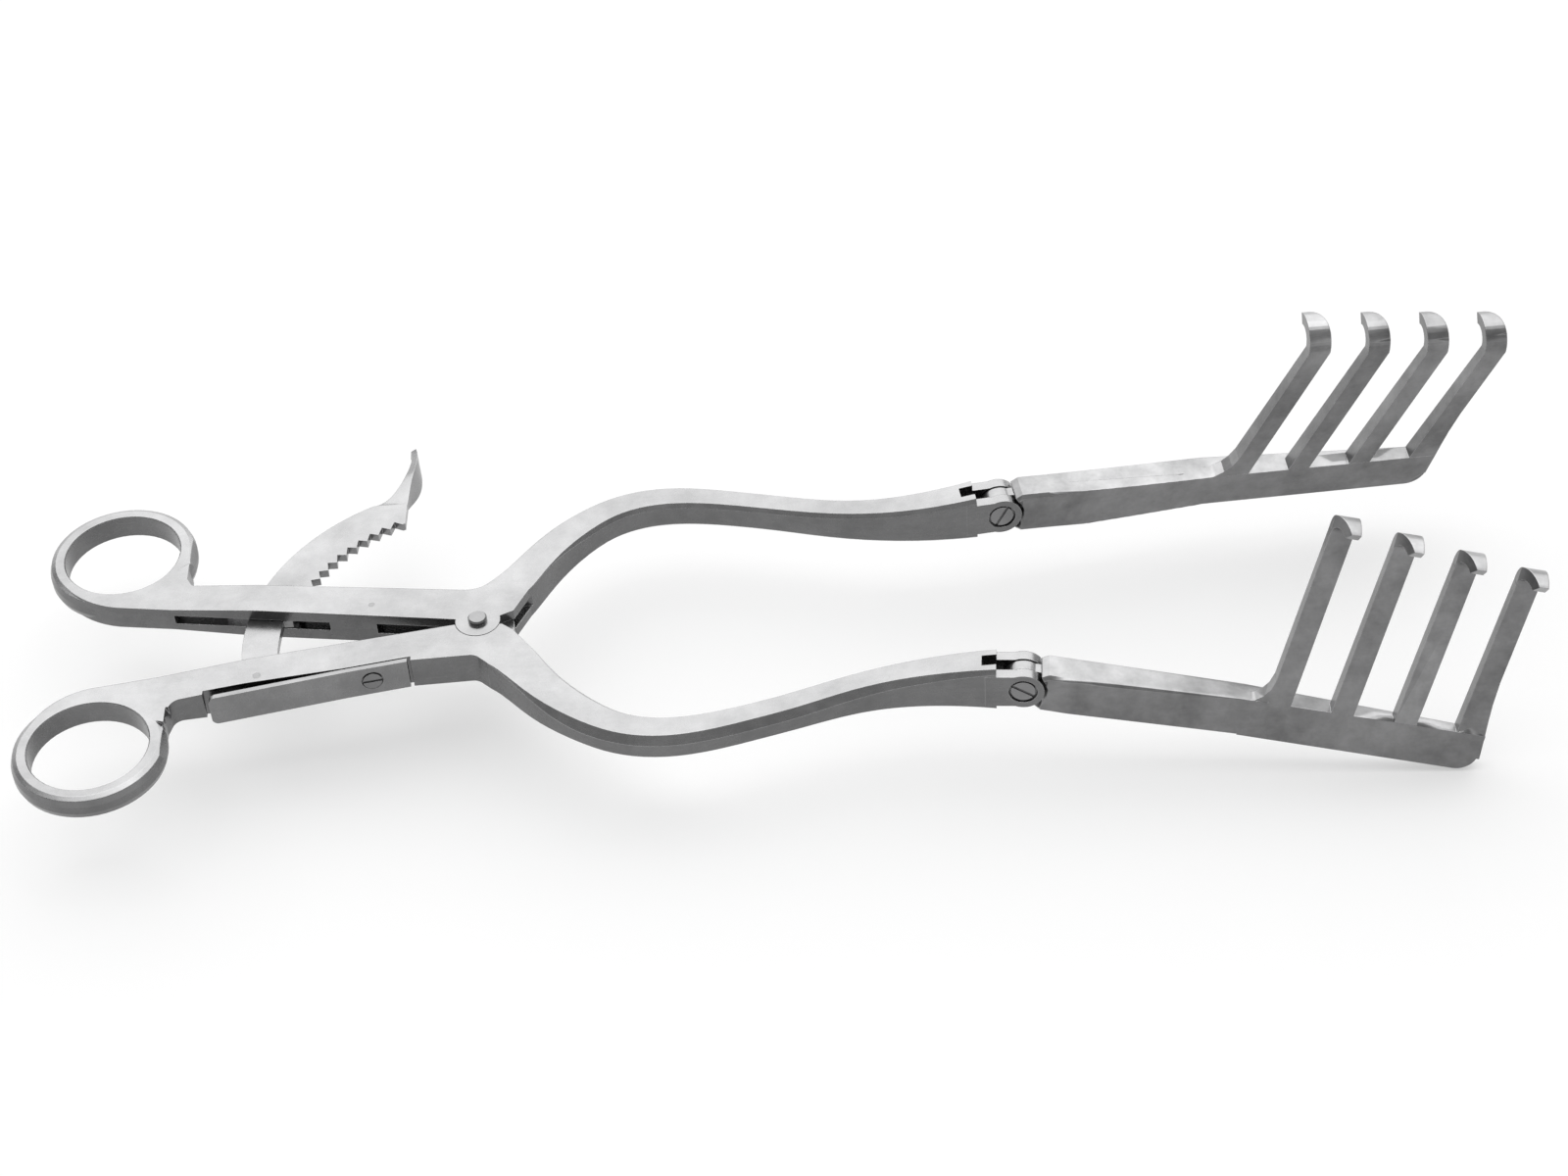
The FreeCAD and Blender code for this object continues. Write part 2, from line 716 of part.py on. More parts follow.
def make_leaf_spring():
    body = new_body("leaf_spring")
    thickness = size("spring_thickness")
    gap = size("spring_gap")
    inner = leaf_points()
    tip_x = inner[-1][0]
    outer = [(x, y - thickness) for x, y in inner]
    low = (size("shank_height") - size("spring_height")) / 2.0
    sketch = sketch_on(body, "LeafOutline")
    close_polygon(sketch, inner + list(reversed(outer)))
    sketch.AttachmentOffset = level(low)
    pad(body, sketch, "Leaf", "Sizes.spring_height")
    # rounded lower corners of the free end
    round_edges(body, "TipRounding",
                lambda edge, middle: abs(middle.x - tip_x) < 0.01 and edge.BoundBox.ZLength < 0.01,
                "Sizes.spring_corner")
    point, along, outward = spring_screw_frame()
    face = point + outward * (gap + thickness)
    placement = frame_at(face, along, Vector(0, 0, 1))
    sketch = sketch_on(body, "HoleOutline", "XY_Plane", placement)
    add_circle(sketch, 0, 0, "spring_screw_radius", " + 0.15")
    pocket(body, sketch, "Hole", "Sizes.spring_thickness * 4", midplane=True)
    sketch = sketch_on(body, "CounterboreOutline", "XY_Plane", placement)
    add_circle(sketch, 0, 0, "spring_counterbore_radius")
    pocket(body, sketch, "Counterbore", "Sizes.spring_counterbore_depth * 2", midplane=True)
    return body


def make_screw(label, shaft, shaft_length, head, head_height):
    """Slotted cylinder-head screw along +Z, head underside at z = 0, head above it."""
    body = new_body(label)
    sketch = sketch_on(body, "ShaftOutline")
    add_circle(sketch, 0, 0, shaft)
    pad(body, sketch, "Shaft", shaft_length, reverse=True)
    sketch = sketch_on(body, "HeadOutline")
    add_circle(sketch, 0, 0, head)
    pad(body, sketch, "Head", head_height)
    top = body.Shape.BoundBox.ZMax
    half = size("screw_slot_width") / 2.0
    sketch = sketch_on(body, "SlotOutline")
    sketch.AttachmentOffset = level(top)
    close_polygon(sketch, [(-9, -half), (9, -half), (9, half), (-9, half)])
    pocket(body, sketch, "Slot", "Sizes.screw_slot_depth")
    return body


def make_spring_screw():
    body = make_screw("spring_screw", "spring_screw_radius", "Sizes.spring_screw_radius * 3.6",
                      "spring_head_radius", "Sizes.spring_counterbore_depth + 0.1")
    point, along, outward = spring_screw_frame()
    depth = size("spring_counterbore_depth")
    seat = point + outward * (size("spring_gap") + size("spring_thickness") - depth + 0.06)
    body.Placement = frame_at(seat, along, outward.cross(along))
    return body


def make_hinge_screw(label, side, slot_turn):
    body = make_screw(label, "hinge_pin_radius",
                      "Sizes.knuckle_width - Sizes.hinge_counterbore_depth - 0.1",
                      "hinge_head_radius", "Sizes.hinge_counterbore_depth - 0.15")
    point, along, across = hinge_frame(side)
    seat = point - across * (size("knuckle_width") / 2.0 - size("hinge_counterbore_depth"))
    turned = Rotation(Vector(0, 0, 1), slot_turn)
    base = frame_at(seat, along, (across * -1).cross(along))
    body.Placement = Placement(base.Base, base.Rotation.multiply(turned))
    return body


# Pins


def make_pivot_rivet():
    body = new_body("pivot_rivet")
    sketch = sketch_on(body, "ShaftOutline")
    add_circle(sketch, 0, 0, "rivet_radius")
    pad(body, sketch, "Shaft", "Sizes.shank_height")
    sketch = sketch_on(body, "HeadOutline")
    add_circle(sketch, 0, 0, "rivet_head_radius")
    bind(sketch, **{".AttachmentOffset.Base.z": "Sizes.shank_height"})
    pad(body, sketch, "Head", "Sizes.rivet_head_height")
    top = body.Shape.BoundBox.ZMax
    base = body.Tip
    rim = edges_where(base.Shape, lambda edge, middle: abs(edge.BoundBox.ZMin - top) < 0.001)
    chamfer = body.newObject("PartDesign::Chamfer", "HeadBevel")
    chamfer.Base = (base, rim)
    bind(chamfer, Size="Sizes.rivet_head_bevel")
    doc.recompute()
    return body


def make_pin(label, x, y, radius, length):
    body = new_body(label)
    sketch = sketch_on(body, "PinOutline")
    add_circle(sketch, 0, 0, radius)
    pad(body, sketch, "Pin", length)
    body.Placement = Placement(Vector(x, y, 0), Rotation())
    return body


# Ratchet bar


def bar_end():
    """Outer and inner corner of the bar's straight end, where the thumb piece begins."""
    last = size("first_notch_angle") + size("tooth_pitch") * (size("tooth_count") - 1)
    outer = polar(size("bar_outer_radius") - size("bar_end_narrowing"), last - 1.8)
    tooth = polar(size("tooth_tip_radius"), last + 2.6)
    return outer, (tooth[0] + 0.2, outer[1])


def ratchet_outline():
    """Arc concentric with the main pivot, sawteeth on the inner edge, heel beside the pin."""
    outer = size("bar_outer_radius")
    neck = size("bar_neck_radius")
    root = size("tooth_root_radius")
    tip = size("tooth_tip_radius")
    pitch = size("tooth_pitch")
    first = size("first_notch_angle")
    end_outer, end_inner = bar_end()
    steps = [
        (polar(outer - 0.1, 26.0), end_outer),
        end_inner,
    ]
    count = int(size("tooth_count"))
    last = first + pitch * (count - 1)
    steps.append(polar(tip, last + 2.6))
    for index in reversed(range(count)):
        notch = first + pitch * index
        steps.append(polar(tip, notch + 1.7))
        steps.append(polar(root, notch))
    steps.append(polar(tip + 0.4, first - 1.2))
    steps.append(polar(neck, first - 1.5))
    pin = (-size("bar_pin_back"), -size("bar_pin_out"))
    steps.append((polar(neck, 0.0), (pin[0] + 3.6, pin[1] + 2.6)))
    steps.append(((pin[0] + 2.6, pin[1] - 1.2), (pin[0] + 0.6, pin[1] - 2.2)))
    # heel that leans on the free end of the leaf spring
    near_end, far_end = pin[0] - 2.6, pin[0] - 5.8
    steps.append((near_end, leaf_face(near_end) + 3 * HEEL_GAP))
    steps.append((far_end, leaf_face(far_end) + HEEL_GAP, 0.5))
    steps.append((pin[0] - 6.5, pin[1] - 1.6))
    steps.append(polar(outer + 0.6, -9.0))
    steps.append(polar(outer, -6.0))
    return steps


def thumb_section(body, name, ahead, corners):
    """Four-cornered section across the thumb piece, standing upright across the bar's end."""
    sketch = sketch_on(body, name, "XY_Plane",
                       frame_at(Vector(0, ahead, 0), Vector(1, 0, 0), Vector(0, 0, 1)))
    close_polygon(sketch, corners)
    return sketch


def thumb_corners(x, middle, left, ridge, foot, rise, drop):
    """Left edge, ridge, foot of the right face and its inner corner."""
    plate = size("thumb_thickness")
    top = middle + rise
    return [
        (x + left, top - 0.5 * plate),
        (x + ridge, top),
        (x + foot, top - drop),
        (x + foot - plate, top - drop - 0.25 * plate),
    ]


def make_ratchet_bar():
    body = new_body("ratchet_bar")
    thickness = size("bar_thickness")
    middle = size("shank_height") / 2.0
    sketch = sketch_on(body, "BarOutline")
    add_outline(sketch, ratchet_outline())
    sketch.AttachmentOffset = level(middle - thickness / 2.0)
    pad(body, sketch, "Bar", "Sizes.bar_thickness")
    # thumb piece: the bar narrows to a ridge with a deep face for the thumb
    outer, inner = bar_end()
    half = thickness / 2.0
    root = [(outer[0], middle + half), (inner[0], middle + half), (inner[0], middle - half),
            (outer[0], middle - half)]
    sections = [thumb_section(body, "ThumbRoot", inner[1], root)]
    for index, (ahead, *shape) in enumerate(THUMB_STATIONS):
        corners = thumb_corners(inner[0], middle, *shape)
        sections.append(thumb_section(body, "ThumbSection%d" % index, inner[1] + ahead, corners))
    loft(body, sections, "ThumbPiece")
    vertical_hole(body, "PinHole", -size("bar_pin_back"), -size("bar_pin_out"),
                  "bar_pin_radius", " + Sizes.hinge_running_gap")
    return body


# Blades


def blade_section(body, name, along, half_width, half_height, chamfer, roll):
    """Eight-sided section across the blade at a distance along it."""
    turn = math.radians(roll)
    wide = Vector(0, math.cos(turn), math.sin(turn))
    tall = Vector(0, -math.sin(turn), math.cos(turn))
    sketch = sketch_on(body, name, "XY_Plane", frame_at(Vector(along, 0, 0), wide, tall))
    a, b, c = half_width, half_height, chamfer
    close_polygon(sketch, [
        (a - c, -b), (a, -b + c), (a, b - c), (a - c, b),
        (-a + c, b), (-a, b - c), (-a, -b + c), (-a + c, -b)])
    return sketch


def make_blade(label, side, tilt, lean, length):
    """Rake blade in its own frame: hinge at the origin, x along the bar, z up the prongs."""
    body = new_body(label)
    add_blade_root(body, side)
    add_rake(body, side, lean, length)
    add_blade_leaf(body)
    point, along, sideways = hinge_frame(side)
    angle = math.radians(tilt)
    drooped = along * math.cos(angle) - Vector(0, 0, 1) * math.sin(angle)
    body.Placement = frame_at(point, drooped, sideways)
    return body


def blade_axes(side):
    """Directions of the rolled rake: along the bar, across it, up the prongs."""
    turn = math.radians(side * size("blade_roll"))
    along = Vector(1, 0, 0)
    wide = Vector(0, math.cos(turn), math.sin(turn))
    tall = Vector(0, -math.sin(turn), math.cos(turn))
    return along, wide, tall


def add_blade_root(body, side):
    """Hinge block that narrows and rolls into the rake bar, hollowed for the fork tines."""
    half_block = size("block_width") / 2.0
    high = size("block_half_height")
    chamfer = 0.75
    sections = [
        blade_section(body, "BlockEnd", 1.6, half_block, high - 1.9, chamfer, 0.0),
        blade_section(body, "BlockFront", 4.4, half_block, high, chamfer, 0.0),
        blade_section(body, "BlockBack", 10.0, half_block, high, chamfer, 0.0),
        rake_section(body, "BarEnd", side, size("rake_start"), size("rake_back")),
    ]
    loft(body, sections, "Block", ruled=True)
    sketch = sketch_on(body, "TineClearance", "XZ_Plane")
    add_circle(sketch, 0, 0, "block_clearance_radius")
    pocket(body, sketch, "TineSpace", "Sizes.block_width * 3", midplane=True)


def rake_section(body, name, side, place, back):
    """Section across the rake bar, thicker on its inner side by the given back."""
    along, wide, tall = blade_axes(side)
    front = size("rake_width") / 2.0
    high = size("bar_half_height")
    bevel = 0.3
    inner = -front - back
    outward = wide * side
    sketch = sketch_on(body, name, "XY_Plane", frame_at(along * place, outward, tall))
    close_polygon(sketch, [
        (front - bevel, -high), (front, -high + bevel), (front, high - bevel), (front - bevel, high),
        (inner + bevel, high), (inner, high - bevel), (inner, -high + bevel), (inner + bevel, -high)])
    return sketch


def prong_half(height, length):
    """Half the thickness of a prong at a height above its root."""
    root, tip = size("rake_width"), size("prong_thickness")
    return (root + (tip - root) * max(0.0, height) / length) / 2.0


def add_rake(body, side, lean, length):
    """Rake bar with its row of prongs, each curled at the end."""
    along, wide, tall = blade_axes(side)
    start = size("rake_start")
    bar_high = size("bar_half_height")
    slope = math.tan(math.radians(lean))
    pitch = size("prong_pitch")
    width = size("prong_width")
    count = int(size("prong_count"))
    last_edge = size("prong_start") + pitch * (count - 1) + width
    sketch = sketch_on(body, "RakeOutline", "XY_Plane", frame_at(Vector(0, 0, 0), along, tall))
    add_outline(sketch, [
        (start, -bar_high),
        (last_edge + 0.9, -bar_high, 4.2),
        (last_edge + 1.2 + slope * bar_high / 2.0, bar_high),
        (start, bar_high),
    ])
    pad(body, sketch, "RakeBar", "Sizes.rake_width", midplane=True)
    # the inner side of the bar is thicker and runs out at the far corner
    backing = [rake_section(body, "BackStart", side, start, size("rake_back")),
               rake_section(body, "BackEnd", side, last_edge - 3.6, 0.25)]
    loft(body, backing, "RakeBacking", ruled=True)
    rise_way = tall + along * slope
    outward = wide * side
    base = along * (size("prong_start") + width / 2.0) + tall * bar_high
    fall = math.radians(size("prong_row_fall"))
    row_way = along * math.cos(fall) - tall * math.sin(fall)
    half_width = width / 2.0

    def prong_section(name, foot, height, left, right):
        sketch = sketch_on(body, name, "XY_Plane", frame_at(foot + rise_way * height, along, outward))
        half = prong_half(height, length)
        close_polygon(sketch, [(left, -half), (right, -half), (right, half), (left, half)])
        return sketch

    # webs beside the first and the last prong
    first_web = [
        prong_section("FirstWeb%d" % index, base, height, -half_width - extra, half_width)
        for index, (height, extra) in enumerate(FIRST_WEB)]
    loft(body, first_web, "FirstWeb", ruled=True)
    last_base = base + row_way * (pitch * (count - 1))
    last_web = [
        prong_section("LastWeb%d" % index, last_base, height, -half_width, half_width + extra)
        for index, (height, extra) in enumerate(LAST_WEB)]
    loft(body, last_web, "LastWeb", ruled=True)
    # one prong with its curled end, then the row, which falls towards the end of the bar
    foot = prong_section("ProngFoot", base, -0.6, -half_width, half_width)
    neck = prong_section("ProngNeck", base, 0.0, -half_width, half_width)
    head = prong_section("ProngHead", base, length, -half_width, half_width)
    prong = loft(body, [foot, neck, head], "Prong", ruled=True)
    hook = add_hook(body, base + rise_way * length, along, outward)
    row = sketch_on(body, "RowLine", "XY_Plane", frame_at(base, row_way, along.cross(tall)))
    row.addGeometry(Part.LineSegment(Vector(0, 0, 0), Vector(pitch, 0, 0)), False)
    pattern = body.newObject("PartDesign::LinearPattern", "ProngRow")
    pattern.Originals = [prong, hook]
    pattern.Direction = (row, ["H_Axis"])
    pattern.Occurrences = count
    bind(pattern, Length="Sizes.prong_pitch * (Sizes.prong_count - 1)")
    body.Tip = pattern
    doc.recompute()


def add_hook(body, reach, along, outward):
    """Curl at the end of a prong, bent outwards about the direction of the bar."""
    radius = size("hook_radius")
    half = size("prong_thickness") / 2.0
    half_width = size("prong_width") / 2.0
    centre = reach + outward * (radius - half)
    sketch = sketch_on(body, "HookOutline", "XY_Plane", frame_at(centre, along, outward))
    low, high = -radius, -radius + 2 * half
    close_polygon(sketch, [(-half_width, low), (half_width, low), (half_width, high), (-half_width, high)])
    hook = body.newObject("PartDesign::Revolution", "Hook")
    hook.Profile = sketch
    hook.ReferenceAxis = (sketch, ["H_Axis"])
    bind(hook, Angle="Sizes.hook_angle")
    doc.recompute()
    if hook.Shape.BoundBox.ZMax < reach.z + half:
        hook.Reversed = True
        doc.recompute()
    return hook


def add_blade_leaf(body):
    """Leaf that enters the arm's fork, with the hole for the hinge screw."""
    radius = size("leaf_radius")
    neck = radius - 0.4
    tangent = math.sqrt(radius ** 2 - neck ** 2)
    root = 8.0
    sketch = sketch_on(body, "LeafOutline", "XZ_Plane")
    add_outline(sketch, [
        (root, neck), (tangent, neck), ((-radius, 0), (tangent, -neck)), (root, -neck)])
    pad(body, sketch, "Leaf", "Sizes.leaf_thickness", midplane=True)
    sketch = sketch_on(body, "PinHoleOutline", "XZ_Plane")
    add_circle(sketch, 0, 0, "hinge_pin_radius", " + Sizes.hinge_running_gap")
    pocket(body, sketch, "PinHole", "Sizes.block_width * 3", midplane=True)


def main():
    bodies = [
        make_box_arm(),
        make_tongue_arm(),
        make_pivot_rivet(),
        make_ratchet_bar(),
        make_pin("ratchet_pin", -size("bar_pin_back"), -size("bar_pin_out"), "bar_pin_radius",
                 "Sizes.shank_height"),
        make_leaf_spring(),
        make_spring_screw(),
        make_pin("dowel_pin", -size("dowel_back"), size("dowel_out"), "dowel_radius", "Sizes.shank_height"),
        make_blade("far_blade", FAR, size("far_tilt"), size("far_lean"), size("far_prong_length")),
        make_blade("near_blade", NEAR, size("near_tilt"), size("near_lean"), size("near_prong_length")),
        make_hinge_screw("far_hinge_screw", FAR, 60.0),
        make_hinge_screw("near_hinge_screw", NEAR, -32.0),
    ]
    doc.recompute()
    for item in doc.Objects:
        if "Invalid" in item.State or "Error" in item.State:
            raise RuntimeError("failed feature: " + item.Name + " " + str(item.State))
    os.makedirs("parts", exist_ok=True)
    for body in bodies:
        shape = body.Shape
        if shape.isNull() or not shape.isValid() or len(shape.Solids) != 1:
            raise RuntimeError("bad shape: " + body.Label + " solids %d" % len(shape.Solids))
        shape.exportStep(os.path.join("parts", body.Label + ".step"))
        box = shape.BoundBox
        print("%-18s volume %9.2f  z %.2f to %.2f  x %.1f to %.1f" % (
            body.Label, shape.Volume, box.ZMin, box.ZMax, box.XMin, box.XMax))


main()
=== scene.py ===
import json
import math

import bmesh
import bpy
import numpy as np
from mathutils import Matrix, Vector


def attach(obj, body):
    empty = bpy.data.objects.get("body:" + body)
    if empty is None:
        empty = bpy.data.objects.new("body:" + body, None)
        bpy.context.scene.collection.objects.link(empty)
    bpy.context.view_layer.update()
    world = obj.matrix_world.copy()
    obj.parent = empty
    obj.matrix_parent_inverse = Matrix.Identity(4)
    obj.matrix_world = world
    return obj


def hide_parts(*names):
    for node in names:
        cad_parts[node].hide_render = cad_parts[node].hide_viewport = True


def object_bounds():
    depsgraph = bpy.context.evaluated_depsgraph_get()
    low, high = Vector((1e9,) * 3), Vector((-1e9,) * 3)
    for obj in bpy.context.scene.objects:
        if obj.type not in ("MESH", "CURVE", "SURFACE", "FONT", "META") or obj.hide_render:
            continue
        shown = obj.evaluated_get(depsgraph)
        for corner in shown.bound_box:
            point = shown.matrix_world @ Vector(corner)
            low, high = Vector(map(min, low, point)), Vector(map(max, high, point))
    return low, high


bl_info = {
    "name": "Self retaining retractor",
    "version": (1, 0, 0),
    "blender": (4, 5, 0),
    "location": "View3D > Sidebar > Retractor",
    "description": "Dresses the packed retractor in satin steel and lays it on a pale bench",
    "category": "Object",
}

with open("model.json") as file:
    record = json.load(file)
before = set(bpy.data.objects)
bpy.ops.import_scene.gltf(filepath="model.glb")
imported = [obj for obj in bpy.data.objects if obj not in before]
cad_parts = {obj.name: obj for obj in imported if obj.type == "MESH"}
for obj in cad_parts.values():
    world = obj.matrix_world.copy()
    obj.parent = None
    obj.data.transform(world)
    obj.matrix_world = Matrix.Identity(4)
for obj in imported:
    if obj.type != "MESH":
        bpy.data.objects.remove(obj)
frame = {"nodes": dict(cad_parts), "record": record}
CAD_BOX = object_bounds()

MM = 0.001
MM_PER_METRE = 1000.0
UP = Vector((0.0, 0.0, 1.0))

# CAD nodes that share a finish
ARM_NODES = ("box_arm", "tongue_arm")
SCREW_NODES = ("far_hinge_screw", "near_hinge_screw", "spring_screw")
PIN_NODES = ("pivot_rivet", "ratchet_pin", "dowel_pin")

# Rake blades, in millimetres and degrees, as in the solids
BLADE_ROLL = 10.4
BLOCK_BACK = 10.0
BLOCK_HALF_WIDTH = 3.6
BLOCK_HALF_HEIGHT = 4.85
BLOCK_CHAMFER = 0.75
RAKE_START = 44.0
RAKE_HALF_WIDTH = 1.6
RAKE_BACK = 2.8
RAKE_CHAMFER = 0.3
RAKE_END = 87.65
BAR_HALF_HEIGHT = 4.27
PRONG_START = 48.5
PRONG_PITCH = 12.75
PRONG_COUNT = 4
PRONG_WIDTH = 4.5
PRONG_THICKNESS = 2.4
PRONG_ROW_FALL = 7.4
HOOK_REACH = 8.8
FAR = {"node": "far_blade", "body": "far_rake", "joint": "far_blade_hinge", "side": 1.0,
       "tilt": 3.2, "lean": 18.7, "length": 35.8}
NEAR = {"node": "near_blade", "body": "near_rake", "joint": "near_blade_hinge", "side": -1.0,
        "tilt": 11.8, "lean": 3.5, "length": 40.0}

# Slanted prong tips, in millimetres
TIP_SPAN = 7.1
TIP_LAND = 0.4
SLANT_OVERRUN = 1.3
ROUND_START = -0.4
ROUND_EXTRA = 0.5
ROUND_STEPS = 12
TIP_MARGIN = 1.5
TIP_OVERRUN = 1.0
CLEAR = 0.02

# Leaf and bar of the far rake: steps along the twist, then the slab and the rib, in millimetres
LEAF_STEPS = 12
SLAB_BAR_STEPS = 2
SLAB_BAR_STEP = 25.0
SLAB_HALF_HEIGHT = 9.0
SLAB_DEPTH = 12.0
RIB_RUNOUT = 0.25

# Mesh clean-up: welding distance in metres, sharp angle in degrees, weight of the wide flats
WELD = 1e-6
SMOOTH_ANGLE = 20.0
FLAT_WEIGHT = 100

# Noises of the steel: scale per metre, detail and roughness
GRAIN_NOISE = (1.0, 4.0, 0.62)
BLAST_NOISE = (5200.0, 2.0, 0.5)
CLOUD_NOISE = (62.0, 5.0, 0.62)
SMUDGE_NOISE = (210.0, 4.0, 0.7)

# Grain per metre along the three axes of a piece, its turn and its depth in metres
ARM_GRAIN = (150.0, 1300.0, 1300.0)
BLADE_GRAIN = (260.0, 1400.0, 1400.0)
BAR_GRAIN = (500.0, 1500.0, 1200.0)
SPRING_GRAIN = (1600.0, 1600.0, 300.0)
TURNED_GRAIN = (1500.0, 1500.0, 1500.0)
NO_TURN = (0.0, 0.0, 0.0)
BAR_TURN = (0.0, 0.0, math.radians(30.0))
GRAIN_DEPTH = 0.00001
TURNED_GRAIN_DEPTH = 0.000012
BUMP_STRENGTH = 0.06

# Shares of cloud and smudge in the patches, and of grain and blasting in the height
CLOUD_SHARE = 0.65
SMUDGE_SHARE = 0.35
GRAIN_HEIGHT = 0.75
BLAST_HEIGHT = 0.25
PATCH_RANGE = (0.36, 0.64)
MOTTLE = 0.14
BLADE_MOTTLE = 0.30

# Tone and roughness: changes by grain, by edges (a painted highlight in the tone, polish in the
# roughness) and by smudge, and the faint blue of steel
MIDDLE = 0.5
GRAIN_TONE = 0.08
EDGE_PAINTED_HIGHLIGHT = 0.4
BLUE_CAST = 1.008
SMUDGE_ROUGHNESS = 0.13
GRAIN_ROUGHNESS = 0.06
EDGE_POLISH = 0.10

# Edges polished in the roughness and painted lighter as a painted highlight: samples, ramp over
# the match of the two normals, radii in metres
BEVEL_SAMPLES = 12
EDGE_STOPS = ((0.80, 1.0), (0.995, 0.0))
BAR_EDGE_RADIUS = 0.00015
SPRING_EDGE_RADIUS = 0.0002
TURNED_EDGE_RADIUS = 0.00012

# Narrow sides painted darker than the flats as painted shade: how level a face is where it counts
# as side or flat, and the sides' painted tone
FACING_RANGE = (0.25, 0.85)
PAINTED_SIDE_SHADE = 0.62
ARM_PAINTED_SIDE_SHADE = 0.40
BLADE_PAINTED_SIDE_SHADE = 0.48

# Differences of a finish from that of the arms
BLADE_ROUGHER = 0.04
SPRING_DARKER = 0.06
FASTENER_DARKER = 0.08
FASTENER_SMOOTHER = 0.04

# Bench, overhead lamp in degrees, and the sines of the elevations between which the white
# lower walls fade into the grey room
BENCH_ROUGHNESS = 0.9
BENCH_SPECULAR = 0.1
TOP_LEAN = -4.0
WALL_TOP = 0.17
WALL_FADE = 0.30

# Camera fitted to the photograph: focal length and place of the pivot in image pixels, scale
# at the pivot, angles in degrees, height of the pivot's top in millimetres, clipping in metres
IMAGE_WIDTH = 1600.0
IMAGE_HEIGHT = 1200.0
SENSOR_WIDTH = 36.0
FOCAL_PIXELS = 3342.9
PIXELS_PER_MM = 5.0
PIVOT_PIXEL = (487.37, 632.68)
ELEVATION = 42.0
ROLL = -4.266
TURN = -0.350
TOP_PLANE = 7.2
CLIP_START = 0.01
CLIP_END = 50.0


# Steel finishes


class Tree:
    """Shorthand for the node tree of a material or of the world."""

    def __init__(self, owner):
        owner.use_nodes = True
        self.nodes = owner.node_tree.nodes
        self.links = owner.node_tree.links
        self.nodes.clear()

    def add(self, kind, **values):
        node = self.nodes.new(kind)
        for name, value in values.items():
            setattr(node, name, value)
        return node

    def link(self, source, target):
        self.links.new(source, target)

    def noise(self, vector, scale, detail, roughness):
        node = self.add("ShaderNodeTexNoise")
        node.inputs["Scale"].default_value = scale
        node.inputs["Detail"].default_value = detail
        node.inputs["Roughness"].default_value = roughness
        self.link(vector, node.inputs["Vector"])
        return node.outputs["Fac"]

    def stretch(self, vector, scale, turn):
        node = self.add("ShaderNodeMapping")
        node.inputs["Scale"].default_value = scale
        node.inputs["Rotation"].default_value = turn
        self.link(vector, node.inputs["Vector"])
        return node.outputs["Vector"]

    def math(self, kind, first, second, addend=0.0, clamp=False):
        node = self.add("ShaderNodeMath", operation=kind, use_clamp=clamp)
        for socket, value in zip(node.inputs, (first, second, addend)):
            if isinstance(value, (int, float)):
                socket.default_value = value
            else:
                self.link(value, socket)
        return node.outputs[0]

    def ramp(self, value, stops):
        """Ramp between two grey stops."""
        node = self.add("ShaderNodeValToRGB")
        self.link(value, node.inputs["Fac"])
        for element, (position, shade) in zip(node.color_ramp.elements, stops):
            element.position = position
            element.color = (shade, shade, shade, 1.0)
        return node.outputs["Color"]


